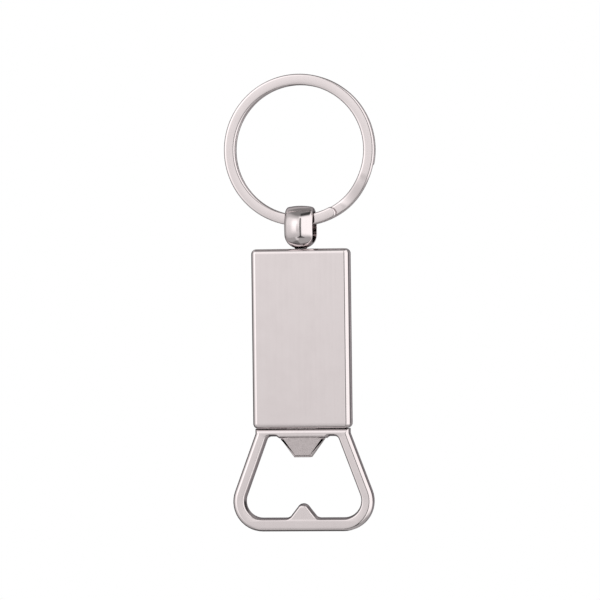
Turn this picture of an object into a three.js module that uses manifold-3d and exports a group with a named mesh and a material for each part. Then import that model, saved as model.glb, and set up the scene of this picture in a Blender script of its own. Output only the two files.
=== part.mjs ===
// Keychain bottle opener: a split ring, a swivel eye and a handle block that carries an opener head.
// Millimetres, +Z up, front face towards -Y. The origin is the point that the object hangs from,
// the top of the inside of the split ring, on the middle plane of the handle.

import * as THREE from "three";
import { mergeVertices } from "three/addons/utils/BufferGeometryUtils.js";
import Module from "manifold-3d";

const wasm = await Module();
wasm.setup();

// Split ring: one flat wire in two layers, which steps from the front layer to the back one.
const ringOuterRadius = 15.0;
const wireWidth = 2.2;
const wireThickness = 1.25;
const wireEdgeRadius = 0.5;
const layerGap = 0.1;
const frontTipAngle = -60;
const stepStartAngle = -20;
const stepSweep = 35;
const backTipClearance = 6;
const ringSteps = 112;

// Swivel eye: a barrel lying along X, with its neck and post pointing down.
const eyeOuterRadius = 4.1;
const eyeWall = 1.1;
const eyeWidth = 5.6;
const eyeEdgeRadius = 0.8;
const eyeCrown = 0.12;
const eyeLipRadius = 0.15;
const footRadius = 2.0;
const footHeight = 0.9;
const postRadius = 1.1;
const postLength = 4.2;
const postChamfer = 0.25;
const grooveRadius = 0.8;
const grooveHeight = 0.6;
const grooveDrop = 1.35;

// Washer and clip that keep the post in the handle.
const washerRadius = 1.7;
const washerThickness = 0.5;
const clipRadius = 1.6;
const clipThickness = 0.36;
const clipMouth = 1.5;

// Handle block: two half shells round the tang of the frame.
const handleWidth = 19.4;
const handleHeight = 35.4;
const handleThickness = 4.6;
const handleCornerRadius = 1.0;
const handleEdgeRadius = 0.85;
const shellWall = 0.9;
const pegRadius = 0.9;
const pegSpacingX = 11;
const pegSpacingZ = 12;

// Opener head.
const headWidth = 27.9;
const headHeight = 20.3;
const headThickness = 3.6;
const headEdgeRadius = 0.75;
const headCornerRadius = 5.9;
const neckInset = 0.35;
const neckDrop = 1.0;
const neckCornerRadius = 0.3;
const sideBarWidth = 2.5;
const topBarHeight = 1.6;
const bottomBarHeight = 2.7;
const openingTopRadius = 0.9;
const openingBottomRadius = 3.3;
const openingChamfer = 0.4;
const bumpHeight = 2.8;
const bumpTipRadius = 1.35;
const bumpFlankAngle = 38;
const bumpFilletRadius = 1.2;
const tangThickness = 2.4;

// Lifting tooth, its stem and the two pins that lock it.
const toothTopWidth = 9.1;
const toothTipWidth = 3.3;
const toothHeight = 4.1;
const toothThickness = 2.4;
const toothEdge = 0.2;
const toothCornerRadius = 0.25;
const stemWidth = 6.4;
const stemHeight = 7.0;
const pinRadius = 0.8;
const pinHeight = 3.4;

// Clearances.
const eyeGap = 0.3;
const swingGap = 0.11;
const fitGap = 0.3;
const slotGap = 0.15;
const turnGap = 0.2;
const seamGap = 0.1;
const neckGap = 0.15;

// How finely round edges and bars are divided.
const arcSegments = 5;
const edgeSegments = 3;
const coverEdgeSegments = 4;
const barSegments = 32;
const pinSegments = 24;
const barrelSegments = 48;

// The furthest that the edge of the two layers of wire reaches from their middle line.
const wireHalfDepth = wireThickness + layerGap / 2;
const wireEdgePlace = new THREE.Vector2(wireWidth / 2 - wireEdgeRadius, wireHalfDepth - wireEdgeRadius);
const wireReach = wireEdgePlace.length() + wireEdgeRadius;

// The wire lies as high in the eye's hole as it can and still turn there, allowing for its own curve.
const ringInnerRadius = ringOuterRadius - wireWidth;
const wireRadius = ringOuterRadius - wireWidth / 2;
const eyeHoleRadius = eyeOuterRadius - eyeWall;
const wireCurve = wireRadius - Math.sqrt(wireRadius ** 2 - (eyeWidth / 2) ** 2);
const wireOffset = eyeHoleRadius - wireReach - swingGap;
const wireCurveAcross = wireCurve * Math.sin(wireEdgePlace.angle());
const wireCurveDown = wireCurve * Math.cos(wireEdgePlace.angle());
const wireRise = Math.sqrt(wireOffset ** 2 - wireCurveAcross ** 2) - wireCurveDown;

// Places worked out from the sizes above.
const ringCentreZ = -ringInnerRadius;
const eyeCentreZ = ringCentreZ - wireRadius - wireRise;
const handleTopZ = eyeCentreZ - eyeOuterRadius - eyeGap;
const handleCentreZ = handleTopZ - handleHeight / 2;
const shellTop = handleHeight / 2;
const shellBottom = -handleHeight / 2;
const cavityTop = shellTop - shellWall;
const cavityHalfWidth = handleWidth / 2 - shellWall;
const cavityHalfDepth = handleThickness / 2 - shellWall;
const cavityBottom = shellBottom + shellWall;
const tangWidth = 2 * (cavityHalfWidth - fitGap);
const neckWidth = handleWidth - 2 * neckInset;
const neckTop = shellBottom - neckGap;
const headBottom = shellBottom - headHeight;
const washerPocketRadius = Math.max(washerRadius, clipRadius) + turnGap;
const washerPocketDepth = postLength + turnGap + fitGap - shellWall;
const openingTop = shellBottom - topBarHeight;
const openingBottom = headBottom + bottomBarHeight;

const plated = { color: 0xdcd6d6, roughness: 0.16, metalness: 1 };
const platedCast = { color: 0xd8d2d2, roughness: 0.2, metalness: 1 };
const stampedSteel = { color: 0xa9a3a2, roughness: 0.45, metalness: 1 };
const plainSteel = { color: 0xb9b9bb, roughness: 0.35, metalness: 1 };

function solidOf(geometry) {
  geometry.deleteAttribute("normal");
  geometry.deleteAttribute("uv");
  const merged = mergeVertices(geometry, 1e-4);
  return new wasm.Manifold(new wasm.Mesh({
    numProp: 3,
    vertProperties: new Float32Array(merged.attributes.position.array),
    triVerts: new Uint32Array(merged.index.array),
  }));
}

function geometryOf(solid) {
  const mesh = solid.getMesh();
  const geometry = new THREE.BufferGeometry();
  geometry.setAttribute("position", new THREE.BufferAttribute(new Float32Array(mesh.vertProperties), 3));
  geometry.setIndex(new THREE.BufferAttribute(new Uint32Array(mesh.triVerts), 1));
  geometry.computeVertexNormals();
  return geometry;
}

function piece(name, geometry, look) {
  const mesh = new THREE.Mesh(geometry, new THREE.MeshStandardMaterial(look));
  mesh.name = name;
  return mesh;
}

// A closed outline through the given corners, each rounded with its own radius.
function roundedOutline(corners) {
  const path = new THREE.Shape();
  const count = corners.length;
  for (let i = 0; i < count; i += 1) {
    const here = new THREE.Vector2(corners[i].x, corners[i].z);
    const before = corners[(i + count - 1) % count];
    const after = corners[(i + 1) % count];
    const inward = new THREE.Vector2(before.x, before.z).sub(here).normalize();
    const outward = new THREE.Vector2(after.x, after.z).sub(here).normalize();
    const radius = corners[i].radius ?? 0;
    if (radius > 0) {
      const halfAngle = Math.acos(inward.dot(outward)) / 2;
      const turnsLeft = inward.cross(outward) < 0;
      const middle = inward.clone().add(outward).normalize();
      const centre = here.clone().addScaledVector(middle, radius / Math.sin(halfAngle));
      const start = here.clone().addScaledVector(inward, radius / Math.tan(halfAngle)).sub(centre);
      const end = here.clone().addScaledVector(outward, radius / Math.tan(halfAngle)).sub(centre);
      path.absarc(centre.x, centre.y, radius, start.angle(), end.angle(), !turnsLeft);
    } else if (i === 0) {
      path.moveTo(here.x, here.y);
    } else {
      path.lineTo(here.x, here.y);
    }
  }
  path.closePath();
  return path;
}

// A flat plate: the outline stands in the XZ plane, centred on Y, with its front and back edges rounded.
function plate(shape, thickness, edgeRadius = 0, edgeSteps = edgeSegments) {
  const geometry = new THREE.ExtrudeGeometry(shape, {
    depth: thickness - 2 * edgeRadius,
    bevelEnabled: edgeRadius > 0,
    bevelThickness: edgeRadius,
    bevelSize: edgeRadius,
    bevelOffset: -edgeRadius,
    bevelSegments: edgeSteps,
    curveSegments: arcSegments,
  });
  geometry.translate(0, 0, edgeRadius - thickness / 2);
  geometry.rotateX(Math.PI / 2);
  return solidOf(geometry);
}

function block(width, depth, height, x, y, z) {
  const geometry = new THREE.BoxGeometry(width, depth, height);
  geometry.translate(x, y, z);
  return solidOf(geometry);
}

// An upright round bar from one height to another.
function uprightBar(radius, low, high) {
  const geometry = new THREE.CylinderGeometry(radius, radius, high - low, barSegments);
  geometry.rotateX(Math.PI / 2);
  geometry.translate(0, 0, (high + low) / 2);
  return solidOf(geometry);
}

// A round bar that runs from front to back.
function crossBar(radius, length, x, y, z) {
  const geometry = new THREE.CylinderGeometry(radius, radius, length, pinSegments);
  geometry.translate(x, y, z);
  return solidOf(geometry);
}

// The wire's middle line, clockwise from the front tip: front layer, step, back layer.
class CoilLine extends THREE.Curve {
  getPoint(t, target = new THREE.Vector3()) {
    const pitch = wireThickness + layerGap;
    const fullTurn = 360;
    const sweep = frontTipAngle + 2 * fullTurn - stepStartAngle - backTipClearance;
    const angle = frontTipAngle - sweep * t;
    const stepPassed = (stepStartAngle - fullTurn - angle) / stepSweep;
    const layer = THREE.MathUtils.smoothstep(stepPassed, 0, 1) - 0.5;
    const turn = THREE.MathUtils.degToRad(angle);
    return target.set(wireRadius * Math.cos(turn), pitch * layer, wireRadius * Math.sin(turn));
  }
}

function wireSection() {
  const halfThickness = wireThickness / 2;
  const halfWidth = wireWidth / 2;
  return roundedOutline([
    { x: -halfThickness, z: -halfWidth, radius: wireEdgeRadius },
    { x: halfThickness, z: -halfWidth, radius: wireEdgeRadius },
    { x: halfThickness, z: halfWidth, radius: wireEdgeRadius },
    { x: -halfThickness, z: halfWidth, radius: wireEdgeRadius },
  ]);
}

function makeSplitRing() {
  const geometry = new THREE.ExtrudeGeometry(wireSection(), {
    steps: ringSteps,
    curveSegments: 1,
    extrudePath: new CoilLine(),
  });
  return geometryOf(solidOf(geometry));
}

// The barrel's section in radius and place along X, turned about X.
function eyeBarrel() {
  const half = eyeWidth / 2;
  const rim = eyeOuterRadius - eyeCrown;
  const section = roundedOutline([
    { x: eyeHoleRadius, z: -half, radius: eyeLipRadius },
    { x: rim, z: -half, radius: eyeEdgeRadius },
    { x: eyeOuterRadius, z: 0, radius: eyeWidth },
    { x: rim, z: half, radius: eyeEdgeRadius },
    { x: eyeHoleRadius, z: half, radius: eyeLipRadius },
  ]);
  const points = section.getPoints(2);
  points.push(points[0].clone());
  const geometry = new THREE.LatheGeometry(points, barrelSegments);
  geometry.rotateZ(-Math.PI / 2);
  return solidOf(geometry);
}

function makeSwivelEye() {
  const footBottom = -eyeOuterRadius;
  const neckTop = footBottom + footHeight;
  const postEnd = footBottom - eyeGap - postLength;
  const grooveTop = footBottom - eyeGap - shellWall - grooveDrop;
  const postProfile = [
    new THREE.Vector2(0, postEnd),
    new THREE.Vector2(postRadius - postChamfer, postEnd),
    new THREE.Vector2(postRadius, postEnd + postChamfer),
    new THREE.Vector2(postRadius, grooveTop - grooveHeight),
    new THREE.Vector2(grooveRadius, grooveTop - grooveHeight),
    new THREE.Vector2(grooveRadius, grooveTop),
    new THREE.Vector2(postRadius, grooveTop),
    new THREE.Vector2(postRadius, footBottom),
    new THREE.Vector2(footRadius, footBottom),
    new THREE.Vector2(footRadius, neckTop),
    new THREE.Vector2(0, neckTop),
  ];
  const post = new THREE.LatheGeometry(postProfile, barSegments);
  post.rotateX(Math.PI / 2);
  const hole = new THREE.CylinderGeometry(eyeHoleRadius, eyeHoleRadius, eyeWidth, barrelSegments);
  hole.rotateZ(Math.PI / 2);
  return geometryOf(eyeBarrel().add(solidOf(post).subtract(solidOf(hole))));
}

function makeWasher() {
  const top = -eyeOuterRadius - eyeGap - shellWall - slotGap;
  const outside = uprightBar(washerRadius, top - washerThickness, top);
  const inside = uprightBar(postRadius + slotGap, top - 2 * washerThickness, top + washerThickness);
  return geometryOf(outside.subtract(inside));
}

function makeClip() {
  const grooveTop = -eyeOuterRadius - eyeGap - shellWall - grooveDrop;
  const top = grooveTop - (grooveHeight - clipThickness) / 2;
  const bottom = top - clipThickness;
  const outside = uprightBar(clipRadius, bottom, top);
  const inside = uprightBar(grooveRadius + slotGap, bottom - clipThickness, top + clipThickness);
  const mouth = block(clipRadius * 2, clipMouth, clipThickness * 3, clipRadius, 0, (top + bottom) / 2);
  return geometryOf(outside.subtract(inside).subtract(mouth));
}

function handleOutline() {
  const halfWidth = handleWidth / 2;
  return roundedOutline([
    { x: -halfWidth, z: shellBottom, radius: handleCornerRadius },
    { x: halfWidth, z: shellBottom, radius: handleCornerRadius },
    { x: halfWidth, z: shellTop, radius: handleCornerRadius },
    { x: -halfWidth, z: shellTop, radius: handleCornerRadius },
  ]);
}

// The pegs of the front cover stand in the upper row, and those of the back cover in the lower one.
function pegHeight(side) {
  return side < 0 ? pegSpacingZ / 2 : -pegSpacingZ / 2;
}

// One half shell; side is -1 for the front and 1 for the back.
function makeCover(side) {
  const cavityHeight = cavityTop - cavityBottom;
  const cavityMiddle = (cavityTop + cavityBottom) / 2;
  const otherHalf = -side * (handleThickness - seamGap) / 2;
  const slotWidth = tangWidth + 2 * slotGap;
  const slotDepth = tangThickness + 2 * slotGap;
  const pocketBottom = cavityTop - washerPocketDepth;
  let shell = plate(handleOutline(), handleThickness, handleEdgeRadius, coverEdgeSegments);
  shell = shell.subtract(block(2 * handleWidth, handleThickness, 2 * handleHeight, 0, otherHalf, 0));
  shell = shell.subtract(block(2 * cavityHalfWidth, 2 * cavityHalfDepth, cavityHeight, 0, 0, cavityMiddle));
  shell = shell.subtract(block(slotWidth, slotDepth, 4 * shellWall, 0, 0, shellBottom));
  shell = shell.subtract(uprightBar(postRadius + turnGap, cavityTop - fitGap, shellTop + fitGap));
  shell = shell.subtract(uprightBar(washerPocketRadius, pocketBottom, cavityTop));
  const pegLength = cavityHalfDepth + tangThickness / 2;
  const pegMiddle = side * (cavityHalfDepth + shellWall / 2 - pegLength / 2);
  for (const x of [-pegSpacingX / 2, pegSpacingX / 2]) {
    shell = shell.add(crossBar(pegRadius, pegLength, x, pegMiddle, pegHeight(side)));
  }
  return geometryOf(shell);
}

// The head's straight flank runs from the corner of the neck and is tangent to the bottom corner.
function flankDirection() {
  const neckCorner = new THREE.Vector2(neckWidth / 2, shellBottom - neckDrop);
  const cornerCentre = new THREE.Vector2(headWidth / 2 - headCornerRadius, headBottom + headCornerRadius);
  const toCentre = cornerCentre.clone().sub(neckCorner);
  const angle = toCentre.angle() + Math.asin(headCornerRadius / toCentre.length());
  return { corner: neckCorner, slope: 1 / Math.tan(angle), lean: Math.abs(Math.sin(angle)) };
}

// Where the flank, moved inwards by an inset, meets a level line.
function flankX(z, inset) {
  const { corner, slope, lean } = flankDirection();
  return corner.x + (z - corner.y) * slope - inset / lean;
}

function headOutline() {
  const neckCornerZ = shellBottom - neckDrop;
  const bottomX = flankX(headBottom, 0);
  return roundedOutline([
    { x: -neckWidth / 2, z: neckTop },
    { x: -neckWidth / 2, z: neckCornerZ, radius: neckCornerRadius },
    { x: -bottomX, z: headBottom, radius: headCornerRadius },
    { x: bottomX, z: headBottom, radius: headCornerRadius },
    { x: neckWidth / 2, z: neckCornerZ, radius: neckCornerRadius },
    { x: neckWidth / 2, z: neckTop },
  ]);
}

function openingOutline() {
  const flank = THREE.MathUtils.degToRad(bumpFlankAngle);
  const apexZ = openingBottom + bumpHeight + bumpTipRadius / Math.sin(flank) - bumpTipRadius;
  const bumpHalfWidth = (apexZ - openingBottom) * Math.tan(flank);
  const topX = flankX(openingTop, sideBarWidth);
  const bottomX = flankX(openingBottom, sideBarWidth);
  return roundedOutline([
    { x: -topX, z: openingTop, radius: openingTopRadius },
    { x: topX, z: openingTop, radius: openingTopRadius },
    { x: bottomX, z: openingBottom, radius: openingBottomRadius },
    { x: bumpHalfWidth, z: openingBottom, radius: bumpFilletRadius },
    { x: 0, z: apexZ, radius: bumpTipRadius },
    { x: -bumpHalfWidth, z: openingBottom, radius: bumpFilletRadius },
    { x: -bottomX, z: openingBottom, radius: openingBottomRadius },
  ]);
}

// Cuts the opening and breaks its front and back edges with a chamfer.
function cutOpening(head) {
  let cut = head.subtract(plate(openingOutline(), 2 * headThickness));
  for (const side of [-1, 1]) {
    const geometry = new THREE.ExtrudeGeometry(openingOutline(), {
      depth: openingChamfer,
      bevelThickness: openingChamfer,
      bevelSize: openingChamfer,
      bevelSegments: 1,
      curveSegments: arcSegments,
    });
    geometry.translate(0, 0, -openingChamfer / 2);
    geometry.rotateX(Math.PI / 2);
    geometry.translate(0, side * (headThickness + openingChamfer) / 2, 0);
    cut = cut.subtract(solidOf(geometry));
  }
  return cut;
}

// The tang rises from the middle of the top bar into the handle, with a notch for the washer and clip.
function makeFrame() {
  const head = cutOpening(plate(headOutline(), headThickness, headEdgeRadius));
  const tangTop = cavityTop - fitGap;
  const tangBottom = (neckTop + openingTop) / 2;
  const tangMiddle = (tangTop + tangBottom) / 2;
  const notchWidth = 2 * washerPocketRadius + fitGap;
  const notchHeight = washerPocketDepth + fitGap;
  const slotWidth = stemWidth + 2 * slotGap;
  const slotDepth = toothThickness + 2 * slotGap;
  const slotTop = openingTop + stemHeight + fitGap;
  const slotBottom = openingTop - headEdgeRadius;
  const slotMiddle = (slotTop + slotBottom) / 2;
  let frame = head.add(block(tangWidth, tangThickness, tangTop - tangBottom, 0, 0, tangMiddle));
  frame = frame.subtract(block(notchWidth, handleThickness, 2 * notchHeight, 0, 0, cavityTop));
  frame = frame.subtract(block(slotWidth, slotDepth, slotTop - slotBottom, 0, 0, slotMiddle));
  for (const side of [-1, 1]) {
    const pinX = side * stemWidth / 2;
    frame = frame.subtract(crossBar(pinRadius + slotGap, handleThickness, pinX, 0, openingTop + pinHeight));
    for (const x of [-pegSpacingX / 2, pegSpacingX / 2]) {
      frame = frame.subtract(crossBar(pegRadius + fitGap, handleThickness, x, 0, pegHeight(side)));
    }
  }
  return geometryOf(frame);
}

function makeTooth() {
  const top = openingTop + stemHeight;
  const shoulder = openingTop - slotGap;
  const tip = openingTop - toothHeight;
  const outline = roundedOutline([
    { x: -stemWidth / 2, z: top },
    { x: -stemWidth / 2, z: shoulder },
    { x: -toothTopWidth / 2, z: shoulder },
    { x: -toothTipWidth / 2, z: tip, radius: toothCornerRadius },
    { x: toothTipWidth / 2, z: tip, radius: toothCornerRadius },
    { x: toothTopWidth / 2, z: shoulder },
    { x: stemWidth / 2, z: shoulder },
    { x: stemWidth / 2, z: top },
  ]);
  let tooth = plate(outline, toothThickness, toothEdge, 1);
  for (const side of [-1, 1]) {
    const pinX = side * stemWidth / 2;
    tooth = tooth.subtract(crossBar(pinRadius + slotGap, handleThickness, pinX, 0, openingTop + pinHeight));
  }
  return geometryOf(tooth);
}

function makePin(side) {
  return geometryOf(crossBar(pinRadius, tangThickness, side * stemWidth / 2, 0, openingTop + pinHeight));
}

const ring = piece("split_ring", makeSplitRing(), plated);
ring.position.z = ringCentreZ;

const swivel = new THREE.Group();
swivel.position.z = eyeCentreZ;
swivel.add(piece("swivel_eye", makeSwivelEye(), plated));
swivel.add(piece("swivel_washer", makeWasher(), plainSteel));
swivel.add(piece("swivel_clip", makeClip(), plainSteel));

const handle = new THREE.Group();
handle.position.z = handleCentreZ;
handle.add(piece("front_cover", makeCover(-1), plated));
handle.add(piece("back_cover", makeCover(1), plated));
handle.add(piece("opener_frame", makeFrame(), platedCast));
handle.add(piece("cap_tooth", makeTooth(), stampedSteel));
handle.add(piece("tooth_pin_left", makePin(-1), plainSteel));
handle.add(piece("tooth_pin_right", makePin(1), plainSteel));

const opener = new THREE.Group();
opener.add(ring, swivel, handle);

export default opener;
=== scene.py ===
"""Keychain bottle opener: fine visible pieces, materials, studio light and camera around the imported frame.

Sizes are in millimetres, in the row frame: Z up along the opener, front face towards -Y. Places come from the
boxes of the frame's nodes. Meshes are stored in metres, which materials, camera and lights use too.
"""

import math

import bmesh
import bpy
from mathutils import Matrix, Vector
from mathutils.geometry import tessellate_polygon


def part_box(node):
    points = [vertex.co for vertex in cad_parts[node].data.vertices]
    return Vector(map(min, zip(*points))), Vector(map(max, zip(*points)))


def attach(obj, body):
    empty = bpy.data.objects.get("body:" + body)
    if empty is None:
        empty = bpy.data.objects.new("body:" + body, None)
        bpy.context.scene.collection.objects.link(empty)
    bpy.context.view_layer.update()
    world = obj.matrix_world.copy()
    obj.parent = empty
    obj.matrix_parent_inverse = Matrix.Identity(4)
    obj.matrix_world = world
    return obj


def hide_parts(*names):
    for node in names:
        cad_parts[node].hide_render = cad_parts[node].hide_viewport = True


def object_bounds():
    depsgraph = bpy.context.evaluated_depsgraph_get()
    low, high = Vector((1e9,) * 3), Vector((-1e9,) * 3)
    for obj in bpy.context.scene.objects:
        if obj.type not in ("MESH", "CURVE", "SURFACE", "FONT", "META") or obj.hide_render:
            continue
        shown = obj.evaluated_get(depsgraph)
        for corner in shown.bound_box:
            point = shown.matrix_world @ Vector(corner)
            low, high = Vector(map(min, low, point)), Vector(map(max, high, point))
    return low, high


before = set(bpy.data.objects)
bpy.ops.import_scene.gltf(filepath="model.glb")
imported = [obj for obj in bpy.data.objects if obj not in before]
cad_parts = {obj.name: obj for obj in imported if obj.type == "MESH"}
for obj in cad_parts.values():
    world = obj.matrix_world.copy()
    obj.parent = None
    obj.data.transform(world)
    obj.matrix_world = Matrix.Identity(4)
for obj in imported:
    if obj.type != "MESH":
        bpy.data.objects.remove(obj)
cad_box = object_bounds()

MM = 0.001
FRONT, BACK = -1, 1  # signs of Y


def node_box(node):
    """Lowest and highest corner of a CAD node, in millimetres."""
    low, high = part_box(node)
    return low / MM, high / MM


ring_high = node_box("split_ring")[1]
eye_low, eye_high = node_box("swivel_eye")
cover_low, cover_high = node_box("front_cover")
frame_low, frame_high = node_box("opener_frame")
tooth_low, tooth_high = node_box("cap_tooth")
pin_low, pin_high = node_box("tooth_pin_right")

# Split ring: flat wire in two layers, with a step from the front layer to the back one.
RING_RADIUS = ring_high.x
RING_CENTRE_Z = ring_high.z - RING_RADIUS
WIRE_WIDTH = 2.2
WIRE_THICKNESS = 1.25
WIRE_EDGE = 0.32
COIL_RADIUS = RING_RADIUS - WIRE_WIDTH / 2
DEGREES_PER_MM = math.degrees(1 / COIL_RADIUS)
LAYER_PITCH = 1.35
# Angles round the ring, in degrees from +X. The wire is followed clockwise from its front tip, so it meets
# the step to the back layer at STEP_START less a full turn.
FRONT_TIP = -60
STEP_START = -20
STEP_SWEEP = 35
COIL_SWEEP = 674
TIP_CORNER = 0.85
TIP_EDGE = 0.3
# At a tip the round edge takes at most these shares of half the thickness and half the width.
TIP_EDGE_SHARE = 0.9
TIP_WIDTH_SHARE = 0.95
TIP_STEPS = 12
COIL_STEPS = 720
TANGENT_STEP = 0.2

# Handle covers.
HANDLE_HALF_WIDTH = cover_high.x
HANDLE_HALF_DEPTH = -cover_low.y
HANDLE_HEIGHT = 35.4
HANDLE_TOP = cover_high.z
HANDLE_BOTTOM = HANDLE_TOP - HANDLE_HEIGHT
HANDLE_MIDDLE = (HANDLE_TOP + HANDLE_BOTTOM) / 2
HANDLE_CORNER = 1.0
HANDLE_EDGE = 0.85
SEAM_HALF_GAP = 0.05
SEAM_EDGE = 0.08
SHELL_WALL = 0.9
PEG_RADIUS = 0.9
PEG_X = 5.5
PEG_Z = 6.0
POST_HOLE = 1.3
WASHER_POCKET = 1.9
WASHER_POCKET_DEPTH = 3.8

# Swivel eye. Its crown is round along X, and towards both ends it falls off further at the front and back
# than at the top. Its lower half is squarer and narrows to the foot. The waist is measured down from the
# eye's axis: it starts at EYE_WAIST_TOP and would close at EYE_WAIST_REACH, just under the barrel's bottom.
EYE_RADIUS = 4.1
EYE_Z = eye_high.z - EYE_RADIUS
EYE_HALF_WIDTH = eye_high.x
EYE_HOLE = 3.0
EYE_CROWN_RADIUS = 12.0
EYE_FRONT_FALL = 0.085
EYE_SQUARENESS = 0.8
EYE_CORNER = 0.7
EYE_LIP = 0.11
EYE_CLEARANCE = 0.06
EYE_BOTTOM = EYE_Z - HANDLE_TOP - EYE_CLEARANCE
EYE_WAIST_TOP = 1.6
EYE_WAIST_REACH = EYE_BOTTOM + 0.45
FOOT_RADIUS = 1.3
FOOT_HEIGHT = 0.9
FOOT_EDGE = 0.2
POST_RADIUS = 1.1
POST_CHAMFER = 0.25
GROOVE_RADIUS = 0.8
GROOVE_HEIGHT = 0.6
GROOVE_DROP = 1.35

# Opener head.
HEAD_HALF_WIDTH = 13.95
HEAD_HALF_DEPTH = 1.8
HEAD_BOTTOM = frame_low.z
HEAD_CORNER = 5.9
HEAD_EDGE = 0.75
NECK_HALF_WIDTH = 9.35
NECK_DROP = 1.0
NECK_GAP = 0.03
NECK_CORNER = 0.3
SIDE_BAR = 2.5
TOP_BAR = 1.6
BOTTOM_BAR = 2.7
OPENING_TOP = HANDLE_BOTTOM - TOP_BAR
OPENING_BOTTOM = HEAD_BOTTOM + BOTTOM_BAR
OPENING_TOP_CORNER = 0.9
OPENING_BOTTOM_CORNER = 3.3
OPENING_EDGE = 0.32
OPENING_DRAFT = 0.3
BUMP_HEIGHT = 2.8
BUMP_TIP = 1.35
BUMP_FLANK = math.radians(38)
BUMP_FILLET = 1.2
LIP_HALF_WIDTH = 4.7
LIP_SLANT = 0.6
LIP_DROP = 0.45
LIP_CORNER = 0.5
TANG_HALF_DEPTH = 1.2
TANG_START = 0.8  # above the opening

# Tooth.
TOOTH_HALF_DEPTH = 1.2
TOOTH_TOP_HALF = tooth_high.x
TOOTH_TIP_HALF = 1.65
TOOTH_TIP_Z = tooth_low.z
TOOTH_CORNER = 0.12
TOOTH_EDGE = 0.16
STEM_HALF = 3.2
PIN_RADIUS = 0.8
PIN_Z = (pin_low.z + pin_high.z) / 2

# Gaps between pieces, and how far a cut runs past what it cuts.
FIT_GAP = 0.3
SLOT_GAP = 0.15
OVERCUT = 1.0
THROUGH = 3.0


# ---------------------------------------------------------------- outlines and solids

# The largest turn between two points of a round corner.
ARC_STEP = math.radians(7.5)

# Polishing leaves flat faces rolling off before their round edges: two narrow facets, with their slopes, and
# the angle at which the round edge takes over.
ROLL_WIDTHS = (0.12, 0.15)
ROLL_SLOPES = (math.radians(3.5), math.radians(8))
ROLL_END = math.radians(11)

# Edges that turn by more than this are sharp. Points closer than this, in metres, are one.
SHARP_TURN = math.radians(32)
WELD_DISTANCE = 1e-8


def outline(corners):
    """Samples of a closed outline in XZ: (point, offset), where offset points out of the outline.

    Each corner is (x, z, radius), anticlockwise seen from the front. A round corner gives points along its
    arc with their unit normals. A sharp one gives a single point, whose offset keeps both sides parallel.
    """
    samples = []
    count = len(corners)
    for i, (x, z, radius) in enumerate(corners):
        here = Vector((x, z))
        before = Vector(corners[i - 1][:2])
        after = Vector(corners[(i + 1) % count][:2])
        inward = (before - here).normalized()
        outward = (after - here).normalized()
        normal_in = Vector((-inward.y, inward.x))
        normal_out = Vector((outward.y, -outward.x))
        turn = math.atan2(
            normal_in.x * normal_out.y - normal_in.y * normal_out.x, normal_in.dot(normal_out)
        )
        if radius <= 0:
            samples.append((here, (normal_in + normal_out) / (1 + normal_in.dot(normal_out))))
            continue
        reach = radius * math.tan(abs(turn) / 2)
        side = 1 if turn > 0 else -1
        start = here + inward * reach
        centre = start - normal_in * radius * side
        steps = max(2, math.ceil(abs(turn) / ARC_STEP))
        for k in range(steps + 1):
            angle = turn * k / steps
            normal = Vector((
                normal_in.x * math.cos(angle) - normal_in.y * math.sin(angle),
                normal_in.x * math.sin(angle) + normal_in.y * math.cos(angle),
            ))
            samples.append((centre + normal * radius * side, normal))
    return samples


def edge_profile(radius, steps):
    """(inset, drop) from a flat face to its side: a soft roll-off left by polishing, then the round edge."""
    points = []
    inset = radius * (1 - math.sin(ROLL_END)) + sum(ROLL_WIDTHS)
    drop = 0
    for width, slope in zip(ROLL_WIDTHS, ROLL_SLOPES):
        points.append((inset, drop))
        inset -= width
        drop += width * math.tan(slope)
    drop -= radius * (1 - math.cos(ROLL_END))
    for k in range(steps + 1):
        a = ROLL_END + (math.pi / 2 - ROLL_END) * k / steps
        points.append((radius * (1 - math.sin(a)), drop + radius * (1 - math.cos(a))))
    return points


def edge_rings(face_y, far_y, face_radius, far_radius, face_steps=8, far_steps=3):
    """(inset, y) steps that round a plate's edge at both faces."""
    way = 1 if far_y > face_y else -1
    rings = [(inset, face_y + way * drop) for inset, drop in edge_profile(face_radius, face_steps)]
    for k in range(far_steps, -1, -1):
        a = math.pi / 2 * k / far_steps
        rings.append((far_radius * (1 - math.sin(a)), far_y - way * far_radius * (1 - math.cos(a))))
    return rings


def loop_points(samples, inset, y, sign):
    """An outline's points moved in by the inset, into the solid: sign is 1 outside it and -1 round a hole."""
    return [Vector((p.x - sign * o.x * inset, y, p.y - sign * o.y * inset)) for p, o in samples]


def plate(outer, rings, hole=None, hole_rings=None):
    """A solid plate: an outline in XZ with its edge rings, and one hole with its own."""
    bm = bmesh.new()
    walls = [(outer, rings, 1)]
    if hole:
        walls.append((hole, hole_rings, -1))
    ends = {0: [], -1: []}
    for samples, steps, sign in walls:
        loops = []
        for inset, y in steps:
            points = loop_points(samples, inset, y, sign)
            loops.append([bm.verts.new(p * MM) for p in points])
        for one, other in zip(loops, loops[1:]):
            for i in range(len(one)):
                j = (i + 1) % len(one)
                bm.faces.new((one[i], one[j], other[j], other[i]))
        ends[0].append(loops[0])
        ends[-1].append(loops[-1])
    for loops in ends.values():
        verts = [v for loop in loops for v in loop]
        flat = [[Vector((v.co.x, v.co.z, 0)) for v in loop] for loop in loops]
        for a, b, c in tessellate_polygon(flat):
            bm.faces.new((verts[a], verts[b], verts[c]))
    return closed(bm)


def closed(bm):
    """The finished mesh of a closed solid, with its faces looking out."""
    bmesh.ops.recalc_face_normals(bm, faces=bm.faces)
    mesh = bpy.data.meshes.new("solid")
    bm.to_mesh(mesh)
    bm.free()
    return mesh


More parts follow.
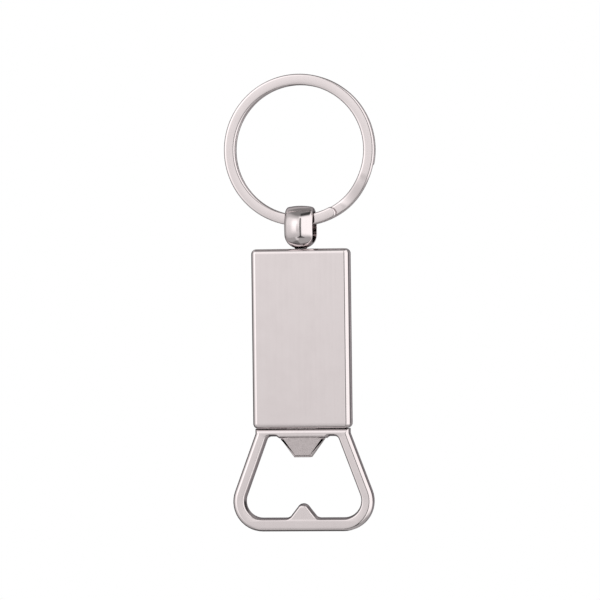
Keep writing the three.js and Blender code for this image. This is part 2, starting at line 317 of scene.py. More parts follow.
def box_solid(x0, x1, y0, y1, z0, z1):
    """A plain box from its limits in millimetres."""
    bm = bmesh.new()
    bmesh.ops.create_cube(bm, size=1)
    size = Vector((x1 - x0, y1 - y0, z1 - z0)) * MM
    middle = Vector((x1 + x0, y1 + y0, z1 + z0)) * MM / 2
    for v in bm.verts:
        v.co = middle + Vector(a * b for a, b in zip(v.co, size))
    return closed(bm)


def turned(profile, centre, axis, segments=96, ends=False):
    """A solid of revolution. The profile, (place along the axis, radius), closes on itself or has ends."""
    along = Vector(axis)
    side = Vector((0, 1, 0))
    other = along.cross(side)
    bm = bmesh.new()
    loops = []
    for place, radius in profile:
        loop = []
        for k in range(segments):
            a = 2 * math.pi * k / segments
            spoke = side * math.cos(a) + other * math.sin(a)
            loop.append(bm.verts.new((Vector(centre) + along * place + spoke * radius) * MM))
        loops.append(loop)
    pairs = list(zip(loops, loops[1:]))
    if ends:
        bm.faces.new(loops[0])
        bm.faces.new(loops[-1])
    else:
        pairs.append((loops[-1], loops[0]))
    for one, following in pairs:
        for k in range(segments):
            j = (k + 1) % segments
            bm.faces.new((one[k], one[j], following[j], following[k]))
    return closed(bm)


def bar(radius, x, z, y0, y1, segments=48):
    """A round bar from front to back."""
    return turned([(y0, radius), (y1, radius)], (x, 0, z), (0, 1, 0), segments, ends=True)


def upright(radius, z0, z1, segments=64):
    """A round bar along the opener's axis."""
    return turned([(z0, radius), (z1, radius)], (0, 0, 0), (0, 0, 1), segments, ends=True)


def combined(mesh, steps):
    """The mesh with solids taken away or added, one after the other."""
    body = bpy.data.objects.new("combining", mesh)
    bpy.context.scene.collection.objects.link(body)
    tools = []
    for operation, solid in steps:
        tool = bpy.data.objects.new("tool", solid)
        bpy.context.scene.collection.objects.link(tool)
        modifier = body.modifiers.new(operation, "BOOLEAN")
        modifier.operation = operation
        modifier.solver = "EXACT"
        modifier.object = tool
        tools.append(tool)
    graph = bpy.context.evaluated_depsgraph_get()
    made = bpy.data.meshes.new_from_object(body.evaluated_get(graph))
    for o in [body, *tools]:
        bpy.data.objects.remove(o)
    return made


def piece(name, mesh, body, material, node):
    """A finished piece in place of its CAD node: smooth where it is round, sharp at its edges."""
    bm = bmesh.new()
    bm.from_mesh(mesh)
    bmesh.ops.remove_doubles(bm, verts=bm.verts, dist=WELD_DISTANCE)
    bmesh.ops.dissolve_degenerate(bm, edges=bm.edges, dist=WELD_DISTANCE)
    bmesh.ops.recalc_face_normals(bm, faces=bm.faces)
    for face in bm.faces:
        face.smooth = True
    for edge in bm.edges:
        edge.smooth = len(edge.link_faces) == 2 and edge.calc_face_angle(0) < SHARP_TURN
    bm.to_mesh(mesh)
    bm.free()
    mesh.materials.clear()
    mesh.materials.append(material)
    obj = bpy.data.objects.new(name, mesh)
    mesh.name = name
    bpy.context.scene.collection.objects.link(obj)
    normals = obj.modifiers.new("flat faces stay flat", "WEIGHTED_NORMAL")
    normals.keep_sharp = True
    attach(obj, body)
    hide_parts(node)
    return obj


# ---------------------------------------------------------------- node graphs


class Graph:
    """A few shorthands for building a node tree."""

    def __init__(self, tree):
        self.tree = tree
        tree.nodes.clear()

    def add(self, kind, **settings):
        node = self.tree.nodes.new(kind)
        for key, value in settings.items():
            setattr(node, key, value)
        return node

    def feed(self, socket, value):
        if isinstance(value, bpy.types.NodeSocket):
            self.tree.links.new(value, socket)
        else:
            socket.default_value = value

    def math(self, operation, a, b=0.0):
        node = self.add("ShaderNodeMath", operation=operation)
        self.feed(node.inputs[0], a)
        self.feed(node.inputs[1], b)
        return node.outputs[0]

    def ramp(self, value, low, high, to_low=0.0, to_high=1.0):
        """to_low below low, to_high above high, and a smooth change between."""
        node = self.add("ShaderNodeMapRange", interpolation_type="SMOOTHSTEP")
        for socket, number in zip(node.inputs, (value, low, high, to_low, to_high)):
            self.feed(socket, number)
        return node.outputs[0]

    def band(self, value, low, high, soft):
        """1 between low and high, fading to 0 over soft either side of each."""
        rise = self.ramp(value, low - soft, low + soft)
        fall = self.ramp(value, high - soft, high + soft, 1.0, 0.0)
        return self.math("MULTIPLY", rise, fall)

    def blend(self, a, b, factor):
        node = self.add("ShaderNodeMix", data_type="FLOAT")
        self.feed(node.inputs["Factor"], factor)
        self.feed(node.inputs[2], a)
        self.feed(node.inputs[3], b)
        return node.outputs[0]

    def blend_colour(self, a, b, factor):
        node = self.add("ShaderNodeMix", data_type="RGBA")
        self.feed(node.inputs["Factor"], factor)
        self.feed(node.inputs[6], a)
        self.feed(node.inputs[7], b)
        return node.outputs[2]

    def place(self, scale=(1, 1, 1), turn=(0, 0, 0)):
        """The object's own coordinates, stretched and turned."""
        source = self.add("ShaderNodeTexCoord").outputs["Object"]
        mapping = self.add("ShaderNodeMapping", vector_type="POINT")
        self.feed(mapping.inputs["Vector"], source)
        mapping.inputs["Rotation"].default_value = [math.radians(a) for a in turn]
        mapping.inputs["Scale"].default_value = scale
        return mapping.outputs[0]

    def noise(self, vector, scale, detail=2.0, roughness=0.5):
        node = self.add("ShaderNodeTexNoise")
        self.feed(node.inputs["Vector"], vector)
        self.feed(node.inputs["Scale"], scale)
        self.feed(node.inputs["Detail"], detail)
        self.feed(node.inputs["Roughness"], roughness)
        return node.outputs["Fac"]

    def bump(self, height, strength, distance, normal=None):
        node = self.add("ShaderNodeBump")
        self.feed(node.inputs["Height"], height)
        node.inputs["Strength"].default_value = strength
        node.inputs["Distance"].default_value = distance
        if normal is not None:
            self.feed(node.inputs["Normal"], normal)
        return node.outputs[0]


# Metal seen along its surface reflects less than a perfect mirror would. Painted shade darkens the plated
# pieces' crevices, and the steel's edges are sheared.
GRAZING_TINT = (0.45, 0.42, 0.44, 1)
# A near-black colour painted into crevices as shade.
CREVICE_SHADE = (0.1, 0.085, 0.09, 1)
SHEARED = (0.32, 0.28, 0.29, 1)


def edge_mask(graph, radius):
    """1 on convex or concave edges within about the radius, 0 on open faces."""
    rounded = graph.add("ShaderNodeBevel", samples=4)
    rounded.inputs["Radius"].default_value = radius
    plain = graph.add("ShaderNodeNewGeometry").outputs["Normal"]
    dot = graph.add("ShaderNodeVectorMath", operation="DOT_PRODUCT")
    graph.feed(dot.inputs[0], rounded.outputs[0])
    graph.feed(dot.inputs[1], plain)
    return graph.ramp(dot.outputs["Value"], 0.9, 0.995, 1.0, 0.0)


def crevice_shade_mask(graph, reach):
    """1 deep in narrow gaps, where shade is painted dark, and 0 on open faces."""
    shelter = graph.add("ShaderNodeAmbientOcclusion", samples=6)
    shelter.inputs["Distance"].default_value = reach
    return graph.ramp(shelter.outputs["AO"], 0.3, 0.78, 1.0, 0.0)


def hairlines(graph, turns, length, width, keep, fade=0.06):
    """Fine scratches: long thin stretches of noise in several directions, of which only the peaks show."""
    total = None
    for turn in turns:
        streaks = graph.noise(graph.place((1 / width, 1 / width, 1 / length), turn), scale=1.0, detail=1.0)
        lines = graph.ramp(streaks, keep, keep + fade)
        total = lines if total is None else graph.math("MAXIMUM", total, lines)
    return total


def plated_metal(name, colour, dull, roughness, streak, scratch_depth):
    """Bright nickel plate: clouded polish, faint streaks, hairlines, worn edges and painted shade in
    crevices.
    """
    material = bpy.data.materials.new(name)
    material.use_nodes = True
    graph = Graph(material.node_tree)
    shader = graph.add("ShaderNodeBsdfPrincipled")
    shader.inputs["Metallic"].default_value = 1.0
    shader.inputs["Specular Tint"].default_value = GRAZING_TINT
    clouds = graph.noise(graph.place(), scale=260.0, detail=3.0, roughness=0.55)
    grain = graph.noise(graph.place(), scale=9000.0, detail=2.0, roughness=0.6)
    polish = graph.noise(graph.place((2600.0, 2600.0, 45.0)), scale=1.0, detail=2.0, roughness=0.6)
    turns = [(0, 34, 20), (0, -52, 70), (0, 81, 40)]
    lines = hairlines(graph, turns, length=0.0035, width=0.00005, keep=0.72)
    worn = graph.math("MULTIPLY", edge_mask(graph, 0.00025), graph.ramp(clouds, 0.42, 0.62))
    tone = graph.math("MULTIPLY", graph.ramp(polish, 0.3, 0.75), streak)
    tone = graph.math("ADD", tone, graph.math("MULTIPLY", graph.ramp(clouds, 0.35, 0.7), 0.2))
    tone = graph.math("ADD", tone, graph.math("MULTIPLY", worn, 0.35))
    tinted = graph.blend_colour(colour, dull, tone)
    # Painted shade: the base colour turns near-black deep in crevices and gaps.
    painted_shade = crevice_shade_mask(graph, 0.0004)
    graph.feed(shader.inputs["Base Color"], graph.blend_colour(tinted, CREVICE_SHADE, painted_shade))
    low, high = roughness
    gloss = graph.ramp(clouds, 0.3, 0.75, low, high)
    gloss = graph.math("ADD", gloss, graph.math("MULTIPLY", grain, 0.03))
    gloss = graph.math("ADD", gloss, graph.math("MULTIPLY", lines, 0.12))
    gloss = graph.math("ADD", gloss, graph.math("MULTIPLY", worn, 0.1))
    graph.feed(shader.inputs["Roughness"], gloss)
    waves = graph.bump(clouds, strength=0.06, distance=0.00004)
    relief = graph.math("SUBTRACT", polish, lines)
    fine = graph.bump(relief, strength=scratch_depth, distance=0.000004, normal=waves)
    graph.feed(shader.inputs["Normal"], fine)
    output = graph.add("ShaderNodeOutputMaterial")
    graph.feed(output.inputs["Surface"], shader.outputs[0])
    return material


def plain_metal(name, colour, dull, roughness, grain_scale, grain_strength):
    """Unplated steel: rolled grain along one direction, mottled tone, dull sheared edges."""
    material = bpy.data.materials.new(name)
    material.use_nodes = True
    graph = Graph(material.node_tree)
    shader = graph.add("ShaderNodeBsdfPrincipled")
    shader.inputs["Metallic"].default_value = 1.0
    grain = graph.noise(graph.place(grain_scale), scale=1.0, detail=3.0, roughness=0.65)
    mottle = graph.noise(graph.place(), scale=900.0, detail=3.0, roughness=0.6)
    edges = edge_mask(graph, 0.00014)
    tone = graph.math("MULTIPLY", graph.ramp(grain, 0.3, 0.75), 0.5)
    tone = graph.math("ADD", tone, graph.math("MULTIPLY", graph.ramp(mottle, 0.35, 0.7), 0.4))
    rolled = graph.blend_colour(colour, dull, tone)
    graph.feed(shader.inputs["Base Color"], graph.blend_colour(rolled, SHEARED, edges))
    low, high = roughness
    graph.feed(shader.inputs["Roughness"], graph.blend(low, high, graph.ramp(mottle, 0.3, 0.7)))
    graph.feed(shader.inputs["Normal"], graph.bump(grain, strength=grain_strength, distance=0.00001))
    output = graph.add("ShaderNodeOutputMaterial")
    graph.feed(output.inputs["Surface"], shader.outputs[0])
    return material


# ---------------------------------------------------------------- split ring


def coil_point(angle):
    """The wire's middle line at an angle in degrees, which falls all the way from the front tip."""
    passed = (STEP_START - 360 - angle) / STEP_SWEEP
    passed = min(1.0, max(0.0, passed))
    layer = passed * passed * (3 - 2 * passed) - 0.5
    turn = math.radians(angle)
    x = COIL_RADIUS * math.cos(turn)
    z = RING_CENTRE_Z + COIL_RADIUS * math.sin(turn)
    return Vector((x, LAYER_PITCH * layer, z))


def shortened(half, corner, distance):
    """Half the wire's width or thickness at a distance from its end, where it has rounded corners."""
    if distance >= corner:
        return half
    return half - corner + math.sqrt(max(0.0, corner**2 - (corner - distance) ** 2))


def wire_section(half_width, half_thickness):
    """A flat bar's section, anticlockwise from the middle of its right side."""
    edge = min(WIRE_EDGE, half_thickness * TIP_EDGE_SHARE)
    profile = edge_profile(edge, steps=6)
    narrowing = min(1.0, half_width * TIP_WIDTH_SHARE / profile[0][0])
    quarter = [(half_width - inset * narrowing, half_thickness - drop) for inset, drop in reversed(profile)]
    upper = quarter + [(-x, y) for x, y in reversed(quarter)]
    return upper + [(-x, -y) for x, y in upper]


def coil_angles():
    """Angles of the sections: close together at both rounded tips, even between."""
    quarters = [math.pi / 2 * k / TIP_STEPS for k in range(TIP_STEPS + 1)]
    tip = [TIP_CORNER * (1 - math.cos(a)) * DEGREES_PER_MM for a in quarters]
    start = [FRONT_TIP - t for t in tip]
    end = [FRONT_TIP - COIL_SWEEP + t for t in reversed(tip)]
    middle = [start[-1] + (end[0] - start[-1]) * k / COIL_STEPS for k in range(1, COIL_STEPS)]
    return start + middle + end


def make_ring(material):
    """The wire: its section carried along the coil, smaller over each rounded tip."""
    last = FRONT_TIP - COIL_SWEEP
    bm = bmesh.new()
    loops = []
    for angle in coil_angles():
        here = coil_point(angle)
        tangent = (coil_point(angle - TANGENT_STEP) - coil_point(angle + TANGENT_STEP)).normalized()
        radial = Vector((math.cos(math.radians(angle)), 0, math.sin(math.radians(angle))))
        across = tangent.cross(radial).normalized()
        distance = min(FRONT_TIP - angle, angle - last) / DEGREES_PER_MM
        half_width = shortened(WIRE_WIDTH / 2, TIP_CORNER, distance)
        half_thickness = shortened(WIRE_THICKNESS / 2, TIP_EDGE, distance)
        section = wire_section(half_width, half_thickness)
        loops.append([bm.verts.new((here + radial * x + across * y) * MM) for x, y in section])
    for one, other in zip(loops, loops[1:]):
        for i in range(len(one)):
            j = (i + 1) % len(one)
            bm.faces.new((one[i], one[j], other[j], other[i]))
    bm.faces.new(loops[0])
    bm.faces.new(loops[-1])
    return piece("ring_coil", closed(bm), "ring", material, "split_ring")


# ---------------------------------------------------------------- swivel eye


def arc(centre, radius, start, end, steps):
    """Points along an arc, from one angle in degrees to another."""
    points = []
    for k in range(steps + 1):
        a = math.radians(start + (end - start) * k / steps)
        points.append((centre[0] + radius * math.cos(a), centre[1] + radius * math.sin(a)))
    return points


def eye_profile():
    """(place along X, radius) round the barrel's wall: hole, lip, corner, crown, and the same back."""
    inner = EYE_CROWN_RADIUS - EYE_CORNER
    corner_x = EYE_HALF_WIDTH - EYE_CORNER
    crown_centre = EYE_RADIUS - EYE_CROWN_RADIUS
    corner_r = crown_centre + math.sqrt(inner**2 - corner_x**2)
    lean = math.degrees(math.asin(corner_x / inner))
    lip_centre = (EYE_HALF_WIDTH - EYE_LIP, EYE_HOLE + EYE_LIP)
    half = arc(lip_centre, EYE_LIP, -90, 0, 4)
    half += arc((corner_x, corner_r), EYE_CORNER, 0, 90 - lean, 12)[1:]
    half += arc((0, crown_centre), EYE_CROWN_RADIUS, 90 - lean, 90, 10)[1:]
    mirrored = [(-x, r) for x, r in reversed(half[:-1])]
    return half + mirrored


def make_post():
    """The foot under the barrel and the post with its groove. Heights count from the eye's axis."""
    foot = -EYE_BOTTOM
    post_end = eye_low.z - EYE_Z
    groove = HANDLE_TOP - EYE_Z - SHELL_WALL - GROOVE_DROP
    profile = [(post_end, POST_RADIUS - POST_CHAMFER), (post_end + POST_CHAMFER, POST_RADIUS)]
    profile += [(groove - GROOVE_HEIGHT, POST_RADIUS), (groove - GROOVE_HEIGHT, GROOVE_RADIUS)]
    profile += [(groove, GROOVE_RADIUS), (groove, POST_RADIUS), (foot, POST_RADIUS)]
    for x, z in arc((0, 0), FOOT_EDGE, -90, 0, 5):
        profile.append((foot + FOOT_EDGE + z, FOOT_RADIUS - FOOT_EDGE + x))
    profile.append((FOOT_HEIGHT - EYE_RADIUS, FOOT_RADIUS))
    return turned(profile, (0, 0, EYE_Z), (0, 0, 1), segments=64, ends=True)


def make_barrel():
    """A turned barrel, then shaped: its fall towards the ends, squarer lower half and narrowing waist."""
    barrel = turned(eye_profile(), (0, 0, EYE_Z), (1, 0, 0), segments=160)
    for v in barrel.vertices:
        x, y, z = v.co.x / MM, v.co.y / MM, v.co.z / MM - EYE_Z
        radius = math.hypot(y, z)
        facing = (y / radius) ** 2
        reach = EYE_HOLE + (radius - EYE_HOLE) * (1 - facing * EYE_FRONT_FALL * x * x)
        y, z = y / radius, z / radius
        if z < 0:
            y = math.copysign(abs(y) ** EYE_SQUARENESS, y)
            z = -abs(z) ** EYE_SQUARENESS * EYE_BOTTOM / EYE_RADIUS
        below = max(0.0, -z * reach - EYE_WAIST_TOP) / (EYE_WAIST_REACH - EYE_WAIST_TOP)
        v.co = Vector((x * math.sqrt(1 - below**2), y * reach, z * reach + EYE_Z)) * MM
    return barrel


def make_eye(material):
    mesh = combined(make_barrel(), [("UNION", make_post())])
    return piece("eye_barrel", mesh, "eye", material, "swivel_eye")


# ---------------------------------------------------------------- handle covers


def make_cover(name, side, material, node):
    """Half of the handle's shell, hollow, with its holes and the two pegs that go through the tang."""
    left, right = -HANDLE_HALF_WIDTH, HANDLE_HALF_WIDTH
    shape = outline([
        (left, HANDLE_BOTTOM, HANDLE_CORNER),
        (right, HANDLE_BOTTOM, HANDLE_CORNER),
        (right, HANDLE_TOP, HANDLE_CORNER),
        (left, HANDLE_TOP, HANDLE_CORNER),
    ])
    rings = edge_rings(side * HANDLE_HALF_DEPTH, side * SEAM_HALF_GAP, HANDLE_EDGE, SEAM_EDGE, face_steps=10)
    cavity_top = HANDLE_TOP - SHELL_WALL
    cavity_bottom = HANDLE_BOTTOM + SHELL_WALL
    cavity_x = HANDLE_HALF_WIDTH - SHELL_WALL
    cavity_y = HANDLE_HALF_DEPTH - SHELL_WALL
    slot_x = cavity_x - FIT_GAP + SLOT_GAP
    slot_y = TANG_HALF_DEPTH + SLOT_GAP
    peg_z = HANDLE_MIDDLE - side * PEG_Z
    peg_y = (-side * TANG_HALF_DEPTH, side * (cavity_y + SHELL_WALL / 2))
    slot_z = (HANDLE_BOTTOM - OVERCUT, cavity_bottom + OVERCUT / 2)
    steps = [
        ("DIFFERENCE", box_solid(-cavity_x, cavity_x, -cavity_y, cavity_y, cavity_bottom, cavity_top)),
        ("DIFFERENCE", box_solid(-slot_x, slot_x, -slot_y, slot_y, *slot_z)),
        ("DIFFERENCE", upright(POST_HOLE, cavity_top - FIT_GAP, HANDLE_TOP + FIT_GAP)),
        ("DIFFERENCE", upright(WASHER_POCKET, cavity_top - WASHER_POCKET_DEPTH, cavity_top)),
        ("UNION", bar(PEG_RADIUS, -PEG_X, peg_z, *peg_y)),
        ("UNION", bar(PEG_RADIUS, PEG_X, peg_z, *peg_y)),
    ]
    mesh = combined(plate(shape, rings), steps)
    return piece(name, mesh, "handle", material, node)


# ---------------------------------------------------------------- opener frame and tooth


def flank():
    """The head's straight flank, tangent to its bottom corner: (corner, slope, lean)."""
    corner = Vector((NECK_HALF_WIDTH, HANDLE_BOTTOM - NECK_DROP))
    to_centre = Vector((HEAD_HALF_WIDTH - HEAD_CORNER, HEAD_BOTTOM + HEAD_CORNER)) - corner
    angle = math.atan2(to_centre.y, to_centre.x) + math.asin(HEAD_CORNER / to_centre.length)
    return corner, 1 / math.tan(angle), abs(math.sin(angle))


def flank_x(z, inset):
    """Where the flank, moved in by the inset, lies at a height."""
    corner, slope, lean = flank()
    return corner.x + (z - corner.y) * slope - inset / lean


def head_outline():
    """The head's outer shape: neck, straight flanks and round bottom corners."""
    neck_top = HANDLE_BOTTOM - NECK_GAP
    neck_corner = HANDLE_BOTTOM - NECK_DROP
    bottom_x = flank_x(HEAD_BOTTOM, 0)
    return outline([
        (-NECK_HALF_WIDTH, neck_top, 0),
        (-NECK_HALF_WIDTH, neck_corner, NECK_CORNER),
        (-bottom_x, HEAD_BOTTOM, HEAD_CORNER),
        (bottom_x, HEAD_BOTTOM, HEAD_CORNER),
        (NECK_HALF_WIDTH, neck_corner, NECK_CORNER),
        (NECK_HALF_WIDTH, neck_top, 0),
    ])


def opening_outline():
    """The opening, with the bump below and the lip over the tooth above."""
    apex = OPENING_BOTTOM + BUMP_HEIGHT + BUMP_TIP / math.sin(BUMP_FLANK) - BUMP_TIP
    bump_x = (apex - OPENING_BOTTOM) * math.tan(BUMP_FLANK)
    top_x = flank_x(OPENING_TOP, SIDE_BAR)
    bottom_x = flank_x(OPENING_BOTTOM, SIDE_BAR)
    lip = OPENING_TOP - LIP_DROP
    slant = LIP_HALF_WIDTH + LIP_SLANT
    return outline([
        (-bottom_x, OPENING_BOTTOM, OPENING_BOTTOM_CORNER),
        (-bump_x, OPENING_BOTTOM, BUMP_FILLET),
        (0, apex, BUMP_TIP),
        (bump_x, OPENING_BOTTOM, BUMP_FILLET),
        (bottom_x, OPENING_BOTTOM, OPENING_BOTTOM_CORNER),
        (top_x, OPENING_TOP, OPENING_TOP_CORNER),
        (slant, OPENING_TOP, LIP_CORNER),
        (LIP_HALF_WIDTH, lip, LIP_CORNER),
        (-LIP_HALF_WIDTH, lip, LIP_CORNER),
        (-slant, OPENING_TOP, LIP_CORNER),
        (-top_x, OPENING_TOP, OPENING_TOP_CORNER),
    ])


def drafted_rings(half_depth, radius, draft, steps=6):
    """(inset, y) steps of a hole's wall: narrowest on the middle plane, wider at both rounded edges."""
    tilt = math.atan2(draft, half_depth - radius)
    front = []
    for k in range(steps + 1):
        a = (math.pi / 2 - tilt) * k / steps
        front.append((draft + radius * (1 - math.sin(a)), radius * (1 - math.cos(a)) - half_depth))
    return front + [(0, 0)] + [(inset, -y) for inset, y in reversed(front)]


def pin_bore(side):
    """The cross hole of one pin, half in the tooth's stem and half in the tang."""
    return bar(PIN_RADIUS + SLOT_GAP, side * STEM_HALF, PIN_Z, -THROUGH, THROUGH)


def make_frame(material):
    """The head and its tang, with a notch for the post, the tooth's seat and slot, and the peg holes."""
    depth = HEAD_HALF_DEPTH
    outer_rings = edge_rings(-depth, depth, HEAD_EDGE, HEAD_EDGE, face_steps=8, far_steps=8)
    hole_rings = drafted_rings(depth, OPENING_EDGE, OPENING_DRAFT)
    head = plate(head_outline(), outer_rings, opening_outline(), hole_rings)
    cavity_top = HANDLE_TOP - SHELL_WALL
    tang_top = frame_high.z
    tang_bottom = OPENING_TOP + TANG_START
    tang_x = HANDLE_HALF_WIDTH - SHELL_WALL - FIT_GAP
    notch_x = WASHER_POCKET + FIT_GAP / 2
    notch_z = cavity_top - WASHER_POCKET_DEPTH - FIT_GAP
    slot_y = TOOTH_HALF_DEPTH + SLOT_GAP
    slot_x = STEM_HALF + SLOT_GAP
    seat_x = TOOTH_TOP_HALF + SLOT_GAP
    cut_bottom = OPENING_TOP - OVERCUT
    slot_top = tooth_high.z + FIT_GAP
    steps = [
        ("UNION", box_solid(-tang_x, tang_x, -TANG_HALF_DEPTH, TANG_HALF_DEPTH, tang_bottom, tang_top)),
        ("DIFFERENCE", box_solid(-notch_x, notch_x, -THROUGH, THROUGH, notch_z, tang_top + OVERCUT)),
        ("DIFFERENCE", box_solid(-slot_x, slot_x, -slot_y, slot_y, cut_bottom, slot_top)),
        ("DIFFERENCE", box_solid(-seat_x, seat_x, -slot_y, slot_y, cut_bottom, OPENING_TOP)),
    ]
    for side in (-1, 1):
        steps.append(("DIFFERENCE", pin_bore(side)))
        for x in (-PEG_X, PEG_X):
            peg_z = HANDLE_MIDDLE + side * PEG_Z
            steps.append(("DIFFERENCE", bar(PEG_RADIUS + FIT_GAP, x, peg_z, -THROUGH, THROUGH)))
    return piece("opener_head", combined(head, steps), "handle", material, "opener_frame")


def make_tooth(material):
    """The tapered blade and the stem that goes up into the tang."""
    shoulder = OPENING_TOP - SLOT_GAP
    top = tooth_high.z
    corner = TOOTH_CORNER
    shape = outline([
        (-TOOTH_TIP_HALF, TOOTH_TIP_Z, corner),
        (TOOTH_TIP_HALF, TOOTH_TIP_Z, corner),
        (TOOTH_TOP_HALF, shoulder, corner),
        (STEM_HALF, shoulder, 0),
        (STEM_HALF, top, corner),
        (-STEM_HALF, top, corner),
        (-STEM_HALF, shoulder, 0),
        (-TOOTH_TOP_HALF, shoulder, corner),
    ])
    depth = TOOTH_HALF_DEPTH
    rings = edge_rings(-depth, depth, TOOTH_EDGE, TOOTH_EDGE, face_steps=4, far_steps=4)
    body = plate(shape, rings)
    steps = [("DIFFERENCE", pin_bore(side)) for side in (-1, 1)]
    return piece("lifting_tooth", combined(body, steps), "handle", material, "cap_tooth")


# ---------------------------------------------------------------- camera, floor and light

# The camera, floor and lights are placed in metres. The view's width is measured at the object.
VIEW_AZIMUTH = math.radians(9)
VIEW_ROLL = math.radians(0.7)
VIEW_DISTANCE = 0.9
VIEW_WIDTH = 0.1184
VIEW_SHIFT = Vector((-0.0003, 0, 0.0005))
VIEW_NEAR = 0.01
VIEW_FAR = 20
SENSOR = 36.0
FLOOR_RADIUS = 0.6
FLOOR_DROP = 0.06
FLOOR_COLOUR = (0.86, 0.855, 0.85, 1)
FLOOR_ROUGHNESS = 0.8
LIGHT_AIM = (0, 0, -0.05)


def make_camera():
    """Level with the object's middle, a little to its right, and slightly rolled."""
    low, high = cad_box
    aim = (low + high) / 2 + VIEW_SHIFT
    aim.y = 0
    back = Vector((math.sin(VIEW_AZIMUTH), -math.cos(VIEW_AZIMUTH), 0))
    data = bpy.data.cameras.new("camera")
    data.sensor_width = SENSOR
    data.lens = SENSOR * VIEW_DISTANCE / VIEW_WIDTH
    camera = bpy.data.objects.new("camera", data)
    camera.location = aim + back * VIEW_DISTANCE
    facing = (-back).to_track_quat("-Z", "Y").to_matrix().to_4x4()
    camera.rotation_euler = (facing @ Matrix.Rotation(-VIEW_ROLL, 4, "Z")).to_euler()
    data.clip_start = VIEW_NEAR
    data.clip_end = VIEW_FAR
    bpy.context.scene.collection.objects.link(camera)
    bpy.context.scene.camera = camera


def make_floor():
    """A pale floor disc well under the hanging object."""
    bm = bmesh.new()
    bmesh.ops.create_circle(bm, cap_ends=True, segments=96, radius=FLOOR_RADIUS)
    mesh = bpy.data.meshes.new("floor")
    bm.to_mesh(mesh)
    bm.free()
    material = bpy.data.materials.new("floor")
    material.use_nodes = True
    shader = material.node_tree.nodes["Principled BSDF"]
    shader.inputs["Base Color"].default_value = FLOOR_COLOUR
    shader.inputs["Roughness"].default_value = FLOOR_ROUGHNESS
    mesh.materials.append(material)
    floor = bpy.data.objects.new("floor", mesh)
    floor.location = (0, 0, cad_box[0].z - FLOOR_DROP)
    floor.visible_glossy = False
    bpy.context.scene.collection.objects.link(floor)


def make_light(name, power, size, place):
    """A round soft light for the floor. The metal pieces don't reflect it."""
    data = bpy.data.lights.new(name, "AREA")
    data.energy = power
    data.shape = "DISK"
    data.size = size
    lamp = bpy.data.objects.new(name, data)
    lamp.location = place
    lamp.rotation_euler = (Vector(LIGHT_AIM) - Vector(place)).to_track_quat("-Z", "Y").to_euler()
    lamp.visible_camera = False
    lamp.visible_glossy = False
    bpy.context.scene.collection.objects.link(lamp)


# An upright dark gap in front, a little to the right, which widens at its foot. Angles in degrees.
GAP_AZIMUTH = 7.0
GAP_HALF_WIDTH = 5.0
GAP_FOOT_HALF_WIDTH = 26.0
GAP_BOTTOM = -44
GAP_FOOT_TOP = -30
GAP_TOP = 46
GAP_LIGHT = 0.06

# Wide enough for every azimuth or elevation. A limit of 400 in a zone is no limit either.
ANY = (-400, 400)

STUDIO_COLOUR = (1.0, 0.975, 0.975, 1)
BACKDROP_COLOUR = (1, 1, 1, 1)


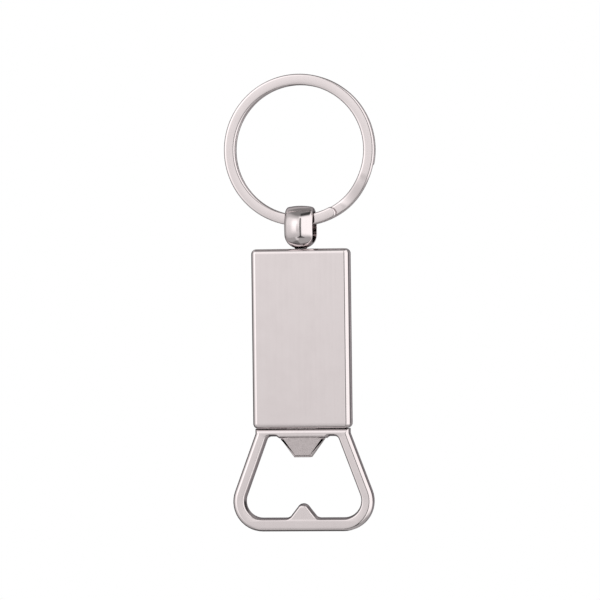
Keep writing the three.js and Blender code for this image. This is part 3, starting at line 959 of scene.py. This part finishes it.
def make_world():
    """A white studio, as levels of light by azimuth and elevation in degrees. Azimuth 0 is the front, -Y,
    and 90 is +X. The camera sees plain white behind the object."""
    world = bpy.data.worlds.new("studio")
    bpy.context.scene.world = world
    world.use_nodes = True
    graph = Graph(world.node_tree)
    direction = graph.add("ShaderNodeTexCoord").outputs["Generated"]
    parts = graph.add("ShaderNodeSeparateXYZ")
    graph.feed(parts.inputs[0], direction)
    x, y, z = parts.outputs
    azimuth = graph.math("ARCTAN2", x, graph.math("MULTIPLY", y, -1.0))
    azimuth = graph.math("DEGREES", azimuth)
    elevation = graph.math("DEGREES", graph.math("ARCSINE", z))

    def zone(below, light, sides, heights, soft_side=3.0, soft_height=4.0):
        """A part of the studio with its own light, which covers what was there before it."""
        mask = graph.band(azimuth, *sides, soft_side)
        mask = graph.math("MULTIPLY", mask, graph.band(elevation, *heights, soft_height))
        return graph.blend(below, light, mask)

    # The room: brighter upwards, dim behind on the right and on the left, less bright high on the left.
    level = graph.ramp(elevation, -50, 25, 0.52, 0.95)
    level = zone(level, 0.36, (118, 400), ANY, 6)
    level = zone(level, 0.4, (-400, -66), ANY, 10)
    level = zone(level, 0.6, (-400, -4), (42, 400), 4, 8)
    # Two soft boxes, in front on the left and along the right side.
    level = zone(level, 1.45, (-42, -10), (-6, 34), 12, 18)
    level = zone(level, 1.2, (14, 112), (-26, 52), 5, 12)
    # What the flat front faces mirror, paler upwards.
    ahead = graph.ramp(elevation, -7, 7, 0.7, 0.98)
    level = zone(level, ahead, (-17, 2), (-14, 14), 4, 5)
    # Dark ceiling and dim floor, with a pale patch in front and a dark one on the left.
    level = zone(level, 0.25, ANY, (57, 400), 3, 8)
    level = zone(level, 0.42, ANY, (-400, -38), 3, 4)
    level = zone(level, 0.76, (-30, -8), (-58, -36), 5, 4)
    level = zone(level, 0.2, (-95, -24), (-88, -60), 5, 4)
    # A dark strip high on the right.
    level = zone(level, 0.05, (4, 130), (58, 76), 10, 6)
    # Dark cards behind on the left.
    level = zone(level, 0.1, (-400, -95), (-85, -14), 6, 5)
    level = zone(level, 0.1, (-167, -100), (-14, 24), 6, 5)
    # Behind on the right, grey below and a dark card above it, and mid-grey straight behind.
    level = zone(level, 0.42, (122, 400), (-60, -3), 5, 4)
    level = zone(level, 0.08, (120, 163), (-3, 20), 4, 4)
    level = zone(level, 0.5, (169, 400), (-30, 30), 3, 5)
    half_width = graph.ramp(elevation, GAP_BOTTOM, GAP_FOOT_TOP, GAP_FOOT_HALF_WIDTH, GAP_HALF_WIDTH)
    aside = graph.math("ABSOLUTE", graph.math("SUBTRACT", azimuth, GAP_AZIMUTH))
    gap = graph.ramp(graph.math("SUBTRACT", aside, half_width), -2.5, 0.5, 1.0, 0.0)
    gap = graph.math("MULTIPLY", gap, graph.band(elevation, GAP_BOTTOM, GAP_TOP, 3))
    level = graph.blend(level, GAP_LIGHT, gap)
    studio = graph.add("ShaderNodeBackground")
    graph.feed(studio.inputs["Strength"], level)
    studio.inputs["Color"].default_value = STUDIO_COLOUR
    backdrop = graph.add("ShaderNodeBackground")
    backdrop.inputs["Color"].default_value = BACKDROP_COLOUR
    seen = graph.add("ShaderNodeLightPath").outputs["Is Camera Ray"]
    choice = graph.add("ShaderNodeMixShader")
    graph.feed(choice.inputs[0], seen)
    graph.feed(choice.inputs[1], studio.outputs[0])
    graph.feed(choice.inputs[2], backdrop.outputs[0])
    output = graph.add("ShaderNodeOutputWorld")
    graph.feed(output.inputs["Surface"], choice.outputs[0])


# ---------------------------------------------------------------- the object

NICKEL = (0.84, 0.785, 0.785, 1)
DULL_NICKEL = (0.74, 0.68, 0.68, 1)
STEEL = (0.62, 0.57, 0.57, 1)
DULL_STEEL = (0.5, 0.46, 0.46, 1)
BRIGHT_STEEL = (0.6, 0.6, 0.61, 1)

casting = plated_metal(
    "nickel_casting", NICKEL, DULL_NICKEL, roughness=(0.05, 0.1), streak=0.14, scratch_depth=0.04,
)
wire = plated_metal(
    "nickel_wire", NICKEL, DULL_NICKEL, roughness=(0.05, 0.1), streak=0.08, scratch_depth=0.05,
)
tooth_steel = plain_metal(
    "rolled_steel", STEEL, DULL_STEEL,
    roughness=(0.32, 0.44), grain_scale=(900, 900, 14000), grain_strength=0.25,
)
inner_steel = plain_metal(
    "turned_steel", BRIGHT_STEEL, DULL_STEEL,
    roughness=(0.22, 0.34), grain_scale=(9000, 9000, 2000), grain_strength=0.2,
)

make_ring(wire)
make_eye(casting)
make_cover("front_shell", FRONT, casting, "front_cover")
make_cover("back_shell", BACK, casting, "back_cover")
make_frame(casting)
make_tooth(tooth_steel)

# The washer, clip and pins keep their CAD shape.
for node in ("swivel_washer", "swivel_clip", "tooth_pin_left", "tooth_pin_right"):
    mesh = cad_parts[node].data
    mesh.materials.clear()
    mesh.materials.append(inner_steel)

make_camera()
make_floor()
make_light("key", power=9, size=0.6, place=(-0.5, -0.6, 0.7))
make_light("fill", power=4, size=0.8, place=(0.7, -0.3, 0.5))
make_world()

scene = bpy.context.scene
scene.view_settings.view_transform = "Standard"
scene.view_settings.look = "None"
